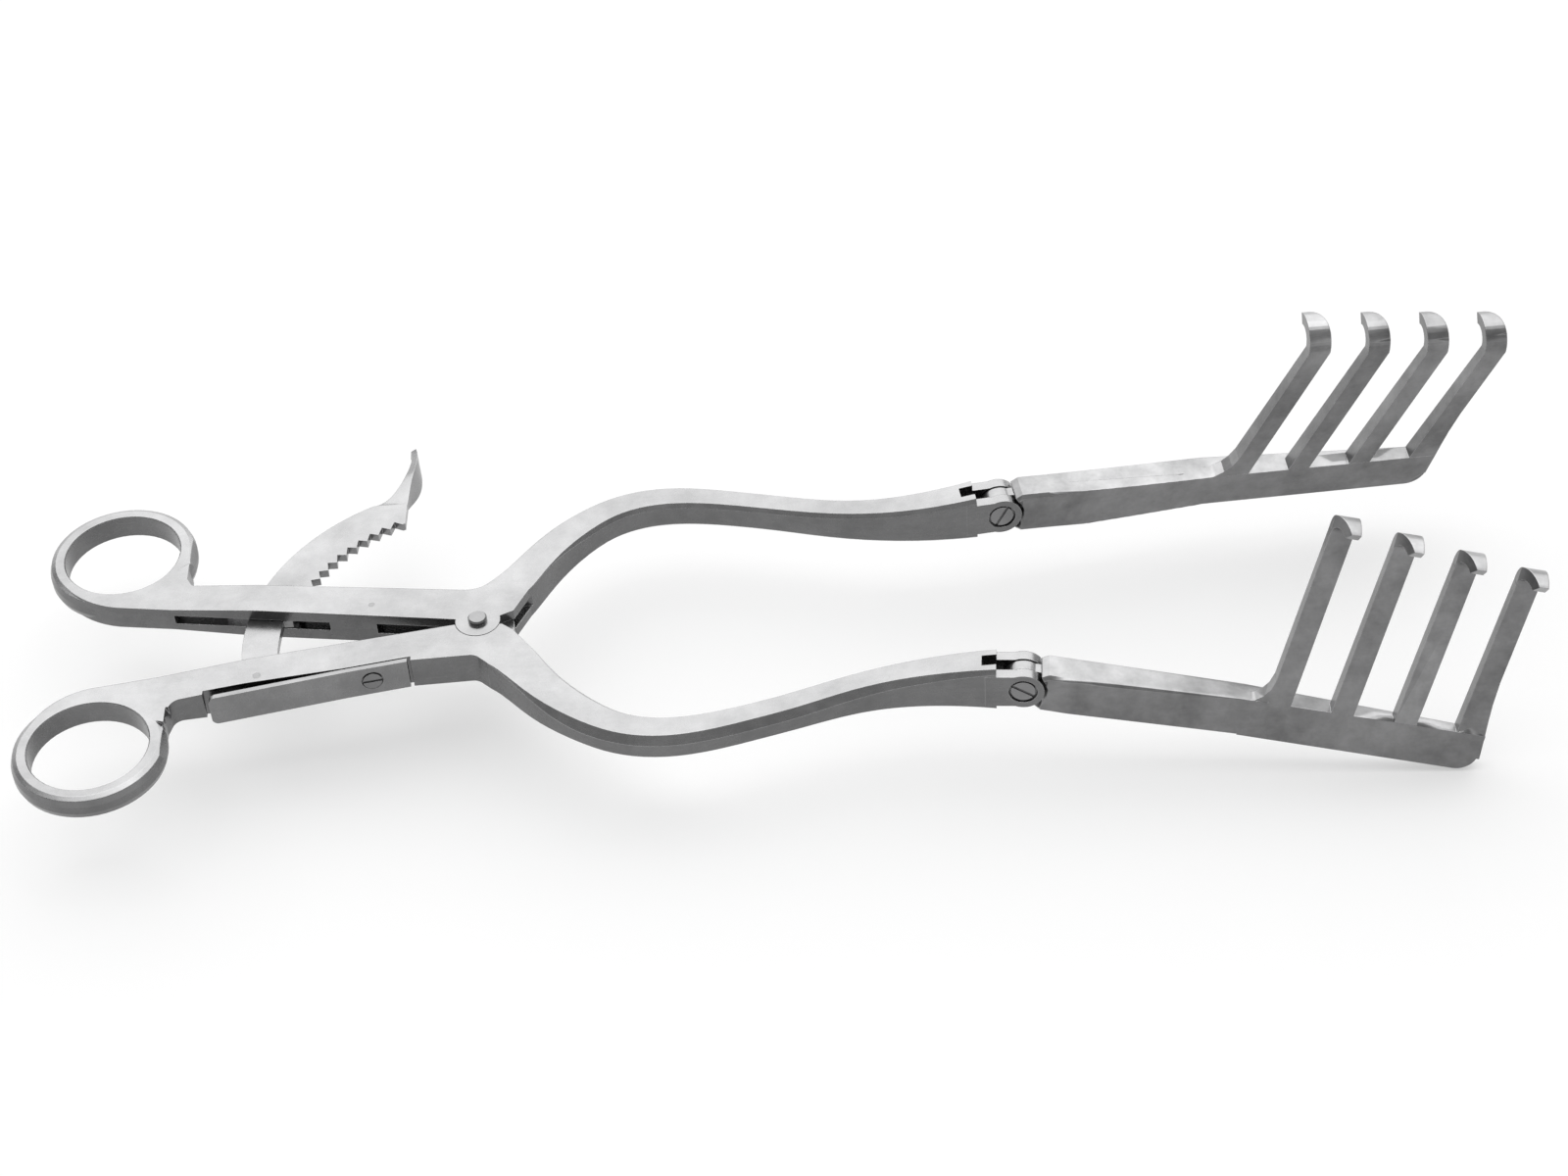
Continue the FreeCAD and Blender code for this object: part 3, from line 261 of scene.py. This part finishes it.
def satin_steel(name, shade, roughness, grain_scale, edge_radius, grain_turn=NO_TURN,
                grain_depth=GRAIN_DEPTH, painted_side_shade=PAINTED_SIDE_SHADE, mottle=MOTTLE):
    """Stainless steel with a fine directional finish, faint smudges, polished edges with a painted
    highlight, and narrow sides painted darker as painted shade.
    """
    material = bpy.data.materials.new(name)
    tree = Tree(material)
    output = tree.add("ShaderNodeOutputMaterial")
    shader = tree.add("ShaderNodeBsdfPrincipled")
    tree.link(shader.outputs["BSDF"], output.inputs["Surface"])
    shader.inputs["Metallic"].default_value = 1.0
    place = tree.add("ShaderNodeTexCoord").outputs["Object"]

    # grain: noise drawn out along the direction of the finishing belt
    long_way = tree.stretch(place, grain_scale, grain_turn)
    grain = tree.noise(long_way, *GRAIN_NOISE)
    blasted = tree.noise(place, *BLAST_NOISE)
    cloud = tree.noise(place, *CLOUD_NOISE)
    smudge = tree.noise(place, *SMUDGE_NOISE)

    # edges polished in the roughness and lightened in the tone as a painted highlight: where the
    # rounded normal turns away from the flat one
    rounded = tree.add("ShaderNodeBevel", samples=BEVEL_SAMPLES)
    rounded.inputs["Radius"].default_value = edge_radius
    flat = tree.add("ShaderNodeNewGeometry")
    align = tree.add("ShaderNodeVectorMath", operation="DOT_PRODUCT")
    tree.link(rounded.outputs["Normal"], align.inputs[0])
    tree.link(flat.outputs["Normal"], align.inputs[1])
    edge_polish_and_highlight = tree.ramp(align.outputs["Value"], EDGE_STOPS)

    # painted shade: the narrow sides are painted darker than the flats, by how level the face is,
    # for the dimmer light that falls on them
    facing = tree.add("ShaderNodeSeparateXYZ")
    tree.link(tree.add("ShaderNodeTexCoord").outputs["Normal"], facing.inputs[0])
    flatness = tree.math("ABSOLUTE", facing.outputs["Z"], 0.0)
    painted_side_darkening = tree.ramp(flatness, zip(FACING_RANGE, (painted_side_shade, 1.0)))

    smudged = tree.math("MULTIPLY", smudge, SMUDGE_SHARE)
    clouded = tree.math("MULTIPLY_ADD", cloud, CLOUD_SHARE, addend=smudged)
    patches = tree.ramp(clouded, zip(PATCH_RANGE, (1.0 - mottle, 1.0 + mottle)))
    swing = tree.math("SUBTRACT", grain, MIDDLE)
    # painted shade: the sides' tone is multiplied down by the painted side darkening
    tone = tree.math("MULTIPLY", tree.math("MULTIPLY", patches, painted_side_darkening), shade)
    tone = tree.math("ADD", tone, tree.math("MULTIPLY", swing, GRAIN_TONE * shade))
    # painted highlight: the edges' tone is raised
    tone = tree.math("ADD", tone, tree.math("MULTIPLY", edge_polish_and_highlight, EDGE_PAINTED_HIGHLIGHT * shade), clamp=True)
    colour = tree.add("ShaderNodeCombineColor")
    tree.link(tone, colour.inputs[0])
    tree.link(tone, colour.inputs[1])
    tree.link(tree.math("MULTIPLY", tone, BLUE_CAST), colour.inputs[2])
    tree.link(colour.outputs[0], shader.inputs["Base Color"])

    rough = tree.math("MULTIPLY_ADD", smudge, SMUDGE_ROUGHNESS,
                      addend=roughness - SMUDGE_ROUGHNESS / 2.0)
    rough = tree.math("ADD", rough, tree.math("MULTIPLY", swing, GRAIN_ROUGHNESS))
    rough = tree.math("SUBTRACT", rough, tree.math("MULTIPLY", edge_polish_and_highlight, EDGE_POLISH), clamp=True)
    tree.link(rough, shader.inputs["Roughness"])

    height = tree.math("ADD", tree.math("MULTIPLY", grain, GRAIN_HEIGHT),
                       tree.math("MULTIPLY", blasted, BLAST_HEIGHT))
    bump = tree.add("ShaderNodeBump")
    bump.inputs["Strength"].default_value = BUMP_STRENGTH
    bump.inputs["Distance"].default_value = grain_depth
    tree.link(height, bump.inputs["Height"])
    tree.link(rounded.outputs["Normal"], bump.inputs["Normal"])
    tree.link(bump.outputs["Normal"], shader.inputs["Normal"])
    return material


def turned_steel(name, shade, roughness):
    """Fine even grain of the turned fasteners, with polished edges lightened as a painted
    highlight, and sides painted darker as painted shade.
    """
    return satin_steel(name, shade, roughness, TURNED_GRAIN, TURNED_EDGE_RADIUS,
                       grain_depth=TURNED_GRAIN_DEPTH)


def coat(piece, material):
    """Puts one material on the whole of a piece."""
    piece.data.materials.clear()
    piece.data.materials.append(material)


def dress(node, material):
    """Puts one material on a CAD node."""
    coat(frame["nodes"][node], material)


# Blade forms


class Blade:
    """Directions of a rake blade at rest, worked out from its hinge."""

    def __init__(self, facts):
        joints = frame["record"]["behaviour"]["joints"]
        joint = next(j for j in joints if j["name"] == facts["joint"])
        tilt = math.radians(facts["tilt"])
        self.side = facts["side"]
        self.hinge = Vector(joint["pos_m"])
        self.sideways = Vector(joint["axis"]).normalized()
        level = self.sideways.cross(UP)
        self.along = level * math.cos(tilt) - UP * math.sin(tilt)
        self.up = self.along.cross(self.sideways)
        self.lean = math.tan(math.radians(facts["lean"]))
        self.length = facts["length"]

    def rolled(self, roll):
        """Outward and upward directions of a section rolled by an angle in degrees."""
        turn = math.radians(self.side * roll)
        across = self.sideways * math.cos(turn) + self.up * math.sin(turn)
        tall = self.up * math.cos(turn) - self.sideways * math.sin(turn)
        return across * self.side, tall

    def point(self, ahead, outward, high, roll=BLADE_ROLL):
        """Place in the world of a point given in millimetres from the hinge."""
        across, tall = self.rolled(roll)
        return self.hinge + (self.along * ahead + across * outward + tall * high) * MM

    def hook_root(self, index):
        """Millimetres ahead and up where a prong begins to curl."""
        fall = math.radians(PRONG_ROW_FALL)
        ahead = PRONG_START + PRONG_WIDTH / 2.0 + math.cos(fall) * PRONG_PITCH * index
        high = BAR_HALF_HEIGHT - math.sin(fall) * PRONG_PITCH * index
        return ahead + self.lean * self.length, high + self.length


def solid_between(name, rings):
    """Closed mesh through rings of points that have the same number each."""
    count = len(rings[0])
    last = (len(rings) - 1) * count
    faces = [tuple(range(count))[::-1], tuple(range(last, last + count))]
    for low in range(0, last, count):
        high = low + count
        for corner in range(count):
            following = (corner + 1) % count
            faces.append((low + corner, low + following, high + following, high + corner))
    mesh = bpy.data.meshes.new(name)
    mesh.from_pydata([tuple(point) for ring in rings for point in ring], [], faces)
    shape = bmesh.new()
    shape.from_mesh(mesh)
    bmesh.ops.recalc_face_normals(shape, faces=shape.faces)
    shape.to_mesh(mesh)
    shape.free()
    return bpy.data.objects.new(name, mesh)


def tip_cutter(blade, index):
    """Prism that takes the corner off a curled end, so that it runs out in a slanted tip."""
    root_ahead, root_high = blade.hook_root(index)
    half = PRONG_WIDTH / 2.0
    if blade.side < 0:
        # straight slant that leaves the tip at the far corner
        start, finish = PRONG_THICKNESS / 2.0, -half
        line = [(start + (TIP_SPAN - start) * part, finish + (TIP_LAND - finish) * part)
                for part in (0.0, 1.0, SLANT_OVERRUN)]
        away = -half - TIP_MARGIN
    else:
        # rounded slant that leaves the tip at the near corner
        start, reach = ROUND_START, TIP_SPAN + ROUND_EXTRA
        line = []
        for step in range(ROUND_STEPS + 1):
            part = math.sin(math.radians(90.0 * step / ROUND_STEPS))
            ahead = -half + 2 * half * math.sqrt(1.0 - part * part)
            line.append((start + (reach - start) * part, ahead))
        line.append((HOOK_REACH, -half))
        away = half + TIP_MARGIN
    last_outward, last_ahead = line[-1]
    beyond = last_outward + TIP_OVERRUN
    outline = line + [(beyond, last_ahead), (beyond, away), (line[0][0], away)]
    rings = [
        [blade.point(root_ahead + ahead, outward, root_high + high) for outward, ahead in outline]
        for high in (CLEAR, HOOK_REACH)]
    return solid_between("tip_cutter", rings)


def leaf_station(step):
    """Share of the leaf's twist at a step, and millimetres ahead of the hinge there."""
    part = min(1.0, step / LEAF_STEPS)
    return part, BLOCK_BACK + (RAKE_START - BLOCK_BACK) * part


def front_cutter(blade):
    """Twisted slab that leaves the front of the leaf flush with the prongs."""
    rings = []
    for step in range(LEAF_STEPS + SLAB_BAR_STEPS + 1):
        part, ahead = leaf_station(step)
        ahead += SLAB_BAR_STEP * max(0, step - LEAF_STEPS)
        inner = -BLOCK_HALF_WIDTH + (BLOCK_HALF_WIDTH - RAKE_HALF_WIDTH) * part
        profile = ((inner, -SLAB_HALF_HEIGHT), (inner, SLAB_HALF_HEIGHT),
                   (-SLAB_DEPTH, SLAB_HALF_HEIGHT), (-SLAB_DEPTH, -SLAB_HALF_HEIGHT))
        rings.append([blade.point(ahead, outward, high, BLADE_ROLL * part)
                      for outward, high in profile])
    return solid_between("front_cutter", rings)


def back_rib(blade):
    """Thicker back of the leaf and the bar, which runs out at the last prong."""
    rings = []
    for step in range(LEAF_STEPS + 2):
        part, ahead = leaf_station(step)
        outer = BLOCK_HALF_WIDTH + (RAKE_HALF_WIDTH + RAKE_BACK - BLOCK_HALF_WIDTH) * part
        if step > LEAF_STEPS:
            ahead, outer = RAKE_END, RAKE_HALF_WIDTH + RIB_RUNOUT
        high = BLOCK_HALF_HEIGHT + (BAR_HALF_HEIGHT - BLOCK_HALF_HEIGHT) * part - CLEAR
        cut = BLOCK_CHAMFER + (RAKE_CHAMFER - BLOCK_CHAMFER) * part
        profile = ((0.0, -high), (outer - cut, -high), (outer, cut - high),
                   (outer, high - cut), (outer - cut, high), (0.0, high))
        rings.append([blade.point(ahead, outward, tall, BLADE_ROLL * part)
                      for outward, tall in profile])
    return solid_between("back_rib", rings)


def settle(piece):
    """Makes a piece's modifiers part of its mesh."""
    depsgraph = bpy.context.evaluated_depsgraph_get()
    result = bpy.data.meshes.new_from_object(piece.evaluated_get(depsgraph))
    piece.modifiers.clear()
    piece.data = result


def combine(target, tool, operation):
    """Applies one boolean to a piece and drops the tool."""
    bpy.context.scene.collection.objects.link(tool)
    change = target.modifiers.new("combine", "BOOLEAN")
    change.operation = operation
    change.solver = "EXACT"
    change.object = tool
    settle(target)
    bpy.data.objects.remove(tool)


def blade_form(facts):
    """Copy of a blade's solid with slanted prong tips and, on the far one, the rib at its back."""
    source = frame["nodes"][facts["node"]]
    blade = Blade(facts)
    shape = bmesh.new()
    shape.from_mesh(source.data)
    bmesh.ops.remove_doubles(shape, verts=shape.verts, dist=WELD)
    mesh = bpy.data.meshes.new(facts["node"] + "_form")
    shape.to_mesh(mesh)
    shape.free()
    piece = bpy.data.objects.new(facts["node"] + "_form", mesh)
    bpy.context.scene.collection.objects.link(piece)
    if blade.side > 0:
        combine(piece, front_cutter(blade), "DIFFERENCE")
        combine(piece, back_rib(blade), "UNION")
    for index in range(PRONG_COUNT):
        combine(piece, tip_cutter(blade, index), "DIFFERENCE")
    for polygon in piece.data.polygons:
        polygon.use_smooth = True
    piece.data.set_sharp_from_angle(angle=math.radians(SMOOTH_ANGLE))
    # wide flats keep their own normals beside the narrow faces of the curls
    even = piece.modifiers.new("even", "WEIGHTED_NORMAL")
    even.keep_sharp = True
    even.weight = FLAT_WEIGHT
    settle(piece)
    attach(piece, facts["body"])
    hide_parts(facts["node"])
    return piece


# Stage


def plain_white(name, colour, glow):
    """Matt bench top, part of whose white reaches camera, metal and glass without a shadow."""
    material = bpy.data.materials.new(name)
    tree = Tree(material)
    output = tree.add("ShaderNodeOutputMaterial")
    shader = tree.add("ShaderNodeBsdfPrincipled")
    shader.inputs["Base Color"].default_value = (*colour, 1.0)
    shader.inputs["Roughness"].default_value = BENCH_ROUGHNESS
    shader.inputs["Specular IOR Level"].default_value = BENCH_SPECULAR
    white = tree.add("ShaderNodeEmission")
    white.inputs["Strength"].default_value = 1.0
    path = tree.add("ShaderNodeLightPath")
    seen = tree.math("ADD", path.outputs["Is Camera Ray"], path.outputs["Is Glossy Ray"])
    seen = tree.math("ADD", seen, path.outputs["Is Transmission Ray"], clamp=True)
    mix = tree.add("ShaderNodeMixShader")
    tree.link(tree.math("MULTIPLY", seen, glow), mix.inputs[0])
    tree.link(shader.outputs["BSDF"], mix.inputs[1])
    tree.link(white.outputs["Emission"], mix.inputs[2])
    tree.link(mix.outputs[0], output.inputs["Surface"])
    return material


def add_bench(size, level):
    """Square bench top at a height."""
    half = size / 2.0
    mesh = bpy.data.meshes.new("bench")
    corners = [(-half, -half, level), (half, -half, level), (half, half, level),
               (-half, half, level)]
    mesh.from_pydata(corners, [], [(0, 1, 2, 3)])
    bench = bpy.data.objects.new("bench", mesh)
    bpy.context.scene.collection.objects.link(bench)
    return bench


def add_sky(name, strength, angle, lean):
    """Very wide soft light, far off, so that the bench is evenly bright."""
    light = bpy.data.lights.new(name, "SUN")
    light.energy = strength
    light.angle = angle
    lamp = bpy.data.objects.new(name, light)
    lamp.rotation_euler = (-lean, 0.0, 0.0)
    bpy.context.scene.collection.objects.link(lamp)


def add_room(strength):
    """Grey room whose lower walls are as white as the bench."""
    world = bpy.data.worlds.new("studio")
    bpy.context.scene.world = world
    tree = Tree(world)
    output = tree.add("ShaderNodeOutputWorld")
    walls = tree.add("ShaderNodeBackground")
    way = tree.add("ShaderNodeSeparateXYZ")
    tree.link(tree.add("ShaderNodeTexCoord").outputs["Generated"], way.inputs[0])
    shade = tree.ramp(way.outputs["Z"], ((WALL_TOP, 1.0), (WALL_FADE, strength)))
    tree.link(shade, walls.inputs["Color"])
    tree.link(walls.outputs[0], output.inputs["Surface"])


def add_camera():
    """Camera that sees the part as the photograph does."""
    elevation, roll, turn = (math.radians(angle) for angle in (ELEVATION, ROLL, TURN))
    right = np.array([1.0, 0.0, 0.0])
    ahead = np.array([0.0, math.cos(elevation), -math.sin(elevation)])
    above = np.array([0.0, math.sin(elevation), math.cos(elevation)])
    rolled_right = math.cos(roll) * right + math.sin(roll) * above
    rolled_above = -math.sin(roll) * right + math.cos(roll) * above
    turned = np.array([
        [math.cos(turn), -math.sin(turn), 0.0],
        [math.sin(turn), math.cos(turn), 0.0],
        [0.0, 0.0, 1.0]])
    axes = np.array([rolled_right, rolled_above, ahead]) @ turned
    distance = FOCAL_PIXELS / PIXELS_PER_MM
    offset = np.array([
        (PIVOT_PIXEL[0] - IMAGE_WIDTH / 2.0) / FOCAL_PIXELS * distance,
        -(PIVOT_PIXEL[1] - IMAGE_HEIGHT / 2.0) / FOCAL_PIXELS * distance,
        distance])
    place = -axes.T @ offset + np.array([0.0, 0.0, TOP_PLANE])
    data = bpy.data.cameras.new("photo_camera")
    data.sensor_width = SENSOR_WIDTH
    data.lens = FOCAL_PIXELS / IMAGE_WIDTH * SENSOR_WIDTH
    data.clip_start = CLIP_START
    data.clip_end = CLIP_END
    camera = bpy.data.objects.new("photo_camera", data)
    matrix = np.eye(4)
    matrix[:3, 0] = axes[0]
    matrix[:3, 1] = axes[1]
    matrix[:3, 2] = -axes[2]
    matrix[:3, 3] = place / MM_PER_METRE
    camera.matrix_world = Matrix(matrix.tolist())
    bpy.context.scene.collection.objects.link(camera)
    bpy.context.scene.camera = camera


# Settings


class RETRACTOR_PG_steel(bpy.types.PropertyGroup):
    """Finish of the steel parts."""

    arm_shade: bpy.props.FloatProperty(
        name="Arm shade", description="Reflectance of the arms",
        default=0.41, min=0.0, max=1.0, subtype="FACTOR")
    blade_shade: bpy.props.FloatProperty(
        name="Blade shade", description="Reflectance of the rake blades",
        default=0.40, min=0.0, max=1.0, subtype="FACTOR")
    bar_shade: bpy.props.FloatProperty(
        name="Bar shade", description="Reflectance of the ratchet bar",
        default=0.41, min=0.0, max=1.0, subtype="FACTOR")
    roughness: bpy.props.FloatProperty(
        name="Roughness", description="Mean roughness of the satin finish",
        default=0.27, min=0.0, max=1.0, subtype="FACTOR")
    edge_radius: bpy.props.FloatProperty(
        name="Edge radius", description="Radius of the softened edges",
        default=0.00026, min=0.0, unit="LENGTH")


class RETRACTOR_PG_stage(bpy.types.PropertyGroup):
    """Bench, lamps and room."""

    bench_size: bpy.props.FloatProperty(
        name="Bench size", description="Side of the square bench top",
        default=6.0, min=0.5, unit="LENGTH")
    bench_drop: bpy.props.FloatProperty(
        name="Bench drop", description="Gap between the lowest point and the bench",
        default=0.0002, unit="LENGTH")
    sky_strength: bpy.props.FloatProperty(
        name="Sky strength", description="Irradiance of the wide soft light from above and behind",
        default=2.35, min=0.0)
    sky_angle: bpy.props.FloatProperty(
        name="Sky angle", description="Angle that the soft light fills as seen from the part",
        default=math.radians(92.0), min=0.0, max=math.pi, subtype="ANGLE")
    sky_lean: bpy.props.FloatProperty(
        name="Sky lean", description="How far the soft light leans to the back of the part",
        default=math.radians(30.0), subtype="ANGLE")
    room_strength: bpy.props.FloatProperty(
        name="Room strength", description="Brightness of the room around the bench",
        default=0.3, min=0.0)
    ground_colour: bpy.props.FloatVectorProperty(
        name="Bench colour", description="Colour of the bench top",
        default=(0.95, 0.95, 0.95), min=0.0, max=1.0, subtype="COLOR")
    ground_glow: bpy.props.FloatProperty(
        name="Bench glow", description="Share of the bench's white that takes no shadow",
        default=0.4, min=0.0, max=1.0, subtype="FACTOR")
    top_strength: bpy.props.FloatProperty(
        name="Top strength", description="Irradiance of the smaller light overhead",
        default=0.36, min=0.0)
    top_angle: bpy.props.FloatProperty(
        name="Top angle", description="Angle that the overhead light fills",
        default=math.radians(60.0), min=0.0, max=math.pi, subtype="ANGLE")


# Operators


class RETRACTOR_OT_arms(bpy.types.Operator):
    """Gives both arms their belt-ground satin finish"""

    bl_idname = "retractor.dress_arms"
    bl_label = "Dress the arms"

    def execute(self, context):
        steel = context.scene.retractor_steel
        # the arms' narrow sides get a strong painted shade, and their edges a painted highlight
        material = satin_steel("arm_steel", steel.arm_shade, steel.roughness, ARM_GRAIN,
                               steel.edge_radius, painted_side_shade=ARM_PAINTED_SIDE_SHADE)
        for node in ARM_NODES:
            dress(node, material)
        return {"FINISHED"}


class RETRACTOR_OT_blades(bpy.types.Operator):
    """Cuts the rakes' slanted tips, sets the far rake's rib and gives both a mottled finish"""

    bl_idname = "retractor.dress_blades"
    bl_label = "Dress the rake blades"

    def execute(self, context):
        steel = context.scene.retractor_steel
        # the blades' narrow sides get a painted shade, and their edges a painted highlight
        material = satin_steel("blade_steel", steel.blade_shade, steel.roughness + BLADE_ROUGHER,
                               BLADE_GRAIN, steel.edge_radius, painted_side_shade=BLADE_PAINTED_SIDE_SHADE,
                               mottle=BLADE_MOTTLE)
        for facts in (FAR, NEAR):
            dress(facts["node"], material)
            coat(blade_form(facts), material)
        return {"FINISHED"}


class RETRACTOR_OT_ratchet(bpy.types.Operator):
    """Gives the ratchet bar and its leaf spring their ground finish"""

    bl_idname = "retractor.dress_ratchet"
    bl_label = "Dress the ratchet bar and spring"

    def execute(self, context):
        steel = context.scene.retractor_steel
        bar = satin_steel("bar_steel", steel.bar_shade, steel.roughness, BAR_GRAIN,
                          BAR_EDGE_RADIUS, grain_turn=BAR_TURN)
        dress("ratchet_bar", bar)
        spring = satin_steel("spring_steel", steel.arm_shade - SPRING_DARKER, steel.roughness,
                             SPRING_GRAIN, SPRING_EDGE_RADIUS)
        dress("leaf_spring", spring)
        return {"FINISHED"}


class RETRACTOR_OT_fasteners(bpy.types.Operator):
    """Gives screws, rivet and pins their turned finish"""

    bl_idname = "retractor.dress_fasteners"
    bl_label = "Dress the fasteners"

    def execute(self, context):
        steel = context.scene.retractor_steel
        material = turned_steel("fastener_steel", steel.arm_shade - FASTENER_DARKER,
                                steel.roughness - FASTENER_SMOOTHER)
        for node in SCREW_NODES + PIN_NODES:
            dress(node, material)
        return {"FINISHED"}


class RETRACTOR_OT_stage(bpy.types.Operator):
    """Adds the pale bench, the soft lamps and the camera"""

    bl_idname = "retractor.add_stage"
    bl_label = "Add the bench, lamps and camera"

    def execute(self, context):
        settings = context.scene.retractor_stage
        low, high = CAD_BOX
        bench = add_bench(settings.bench_size, low.z - settings.bench_drop)
        white = plain_white("bench_white", settings.ground_colour, settings.ground_glow)
        bench.data.materials.append(white)

        add_sky("sky_panel", settings.sky_strength, settings.sky_angle, settings.sky_lean)
        add_sky("top_panel", settings.top_strength, settings.top_angle, math.radians(TOP_LEAN))
        add_room(settings.room_strength)
        add_camera()
        return {"FINISHED"}


class RETRACTOR_PT_panel(bpy.types.Panel):
    """Retractor settings and steps in the sidebar"""

    bl_idname = "RETRACTOR_PT_panel"
    bl_label = "Retractor"
    bl_space_type = "VIEW_3D"
    bl_region_type = "UI"
    bl_category = "Retractor"

    def draw(self, context):
        layout = self.layout
        for settings in (context.scene.retractor_steel, context.scene.retractor_stage):
            for name in settings.__annotations__:
                layout.prop(settings, name)
        for operator in OPERATORS:
            layout.operator(operator.bl_idname)


OPERATORS = (
    RETRACTOR_OT_arms,
    RETRACTOR_OT_blades,
    RETRACTOR_OT_ratchet,
    RETRACTOR_OT_fasteners,
    RETRACTOR_OT_stage,
)
CLASSES = (RETRACTOR_PG_steel, RETRACTOR_PG_stage) + OPERATORS + (RETRACTOR_PT_panel,)


def register():
    for item in CLASSES:
        bpy.utils.register_class(item)
    bpy.types.Scene.retractor_steel = bpy.props.PointerProperty(type=RETRACTOR_PG_steel)
    bpy.types.Scene.retractor_stage = bpy.props.PointerProperty(type=RETRACTOR_PG_stage)


def unregister():
    del bpy.types.Scene.retractor_stage
    del bpy.types.Scene.retractor_steel
    for item in reversed(CLASSES):
        bpy.utils.unregister_class(item)


def main():
    register()
    bpy.context.scene.view_settings.view_transform = "Standard"
    bpy.ops.retractor.dress_arms()
    bpy.ops.retractor.dress_blades()
    bpy.ops.retractor.dress_ratchet()
    bpy.ops.retractor.dress_fasteners()
    bpy.ops.retractor.add_stage()


if __name__ == "__main__":
    main()
